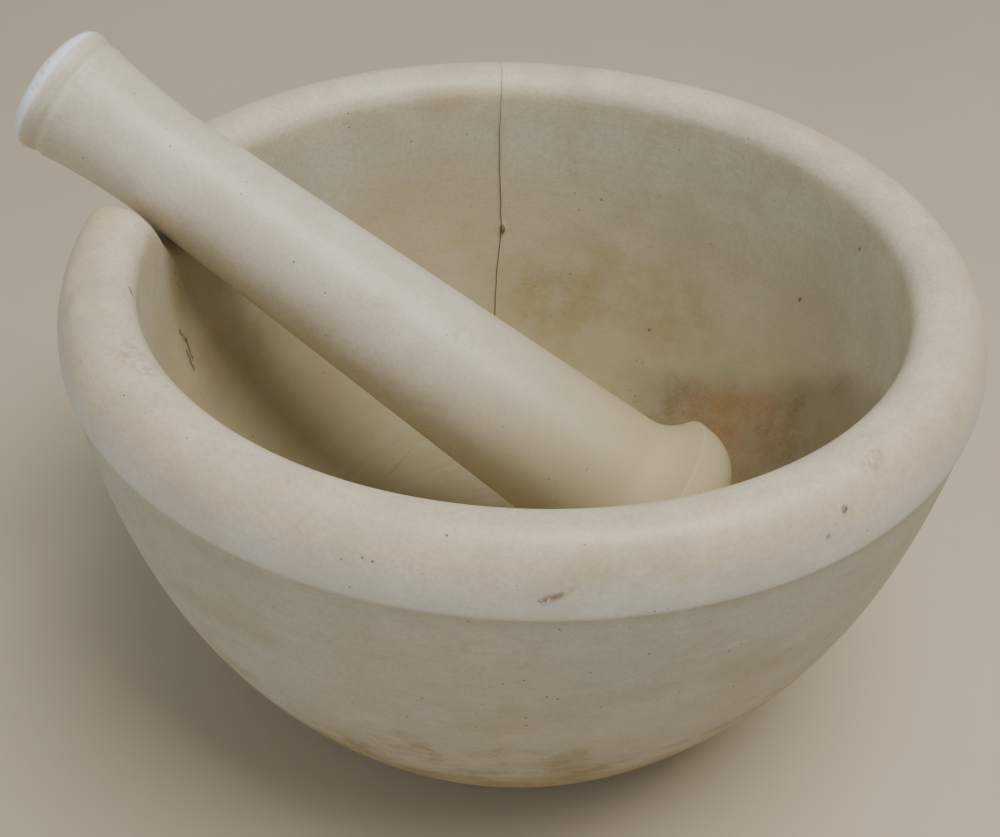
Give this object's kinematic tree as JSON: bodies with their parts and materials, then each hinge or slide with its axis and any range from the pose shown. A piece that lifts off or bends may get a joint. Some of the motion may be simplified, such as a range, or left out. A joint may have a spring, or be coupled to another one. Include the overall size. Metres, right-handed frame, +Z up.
{
  "type": "mortar and pestle",
  "caption": "Large unglazed stoneware mortar with a rounded rim band, pouring spout and flat foot, with a one-piece stoneware pestle leaning in it.",
  "frame": {"origin": "centre of the mortar's flat underside, on the table", "axes": "+Z up along the bowl's axis, -X towards the pouring spout and the pestle's grip, +Y to the far side as seen with the spout on the left"},
  "size_m": [0.2864, 0.26, 0.1873],
  "materials": {
    "mortar_stoneware": "unglazed cream stoneware, smooth, stained olive-brown inside and ochre round the foot",
    "pestle_stoneware": "unglazed cream stoneware, smooth, with a whiter glossy cap on the grip's end"
  },
  "bodies": {
    "mortar": {"mortar": "mortar_stoneware"},
    "pestle": {"pestle": "pestle_stoneware"}
  },
  "joints": [
    {"name": "pestle_lift", "type": "slide", "parent": "mortar", "child": "pestle", "axis": [0, 0, 1], "range_m": [0, 0.15]}
  ]
}
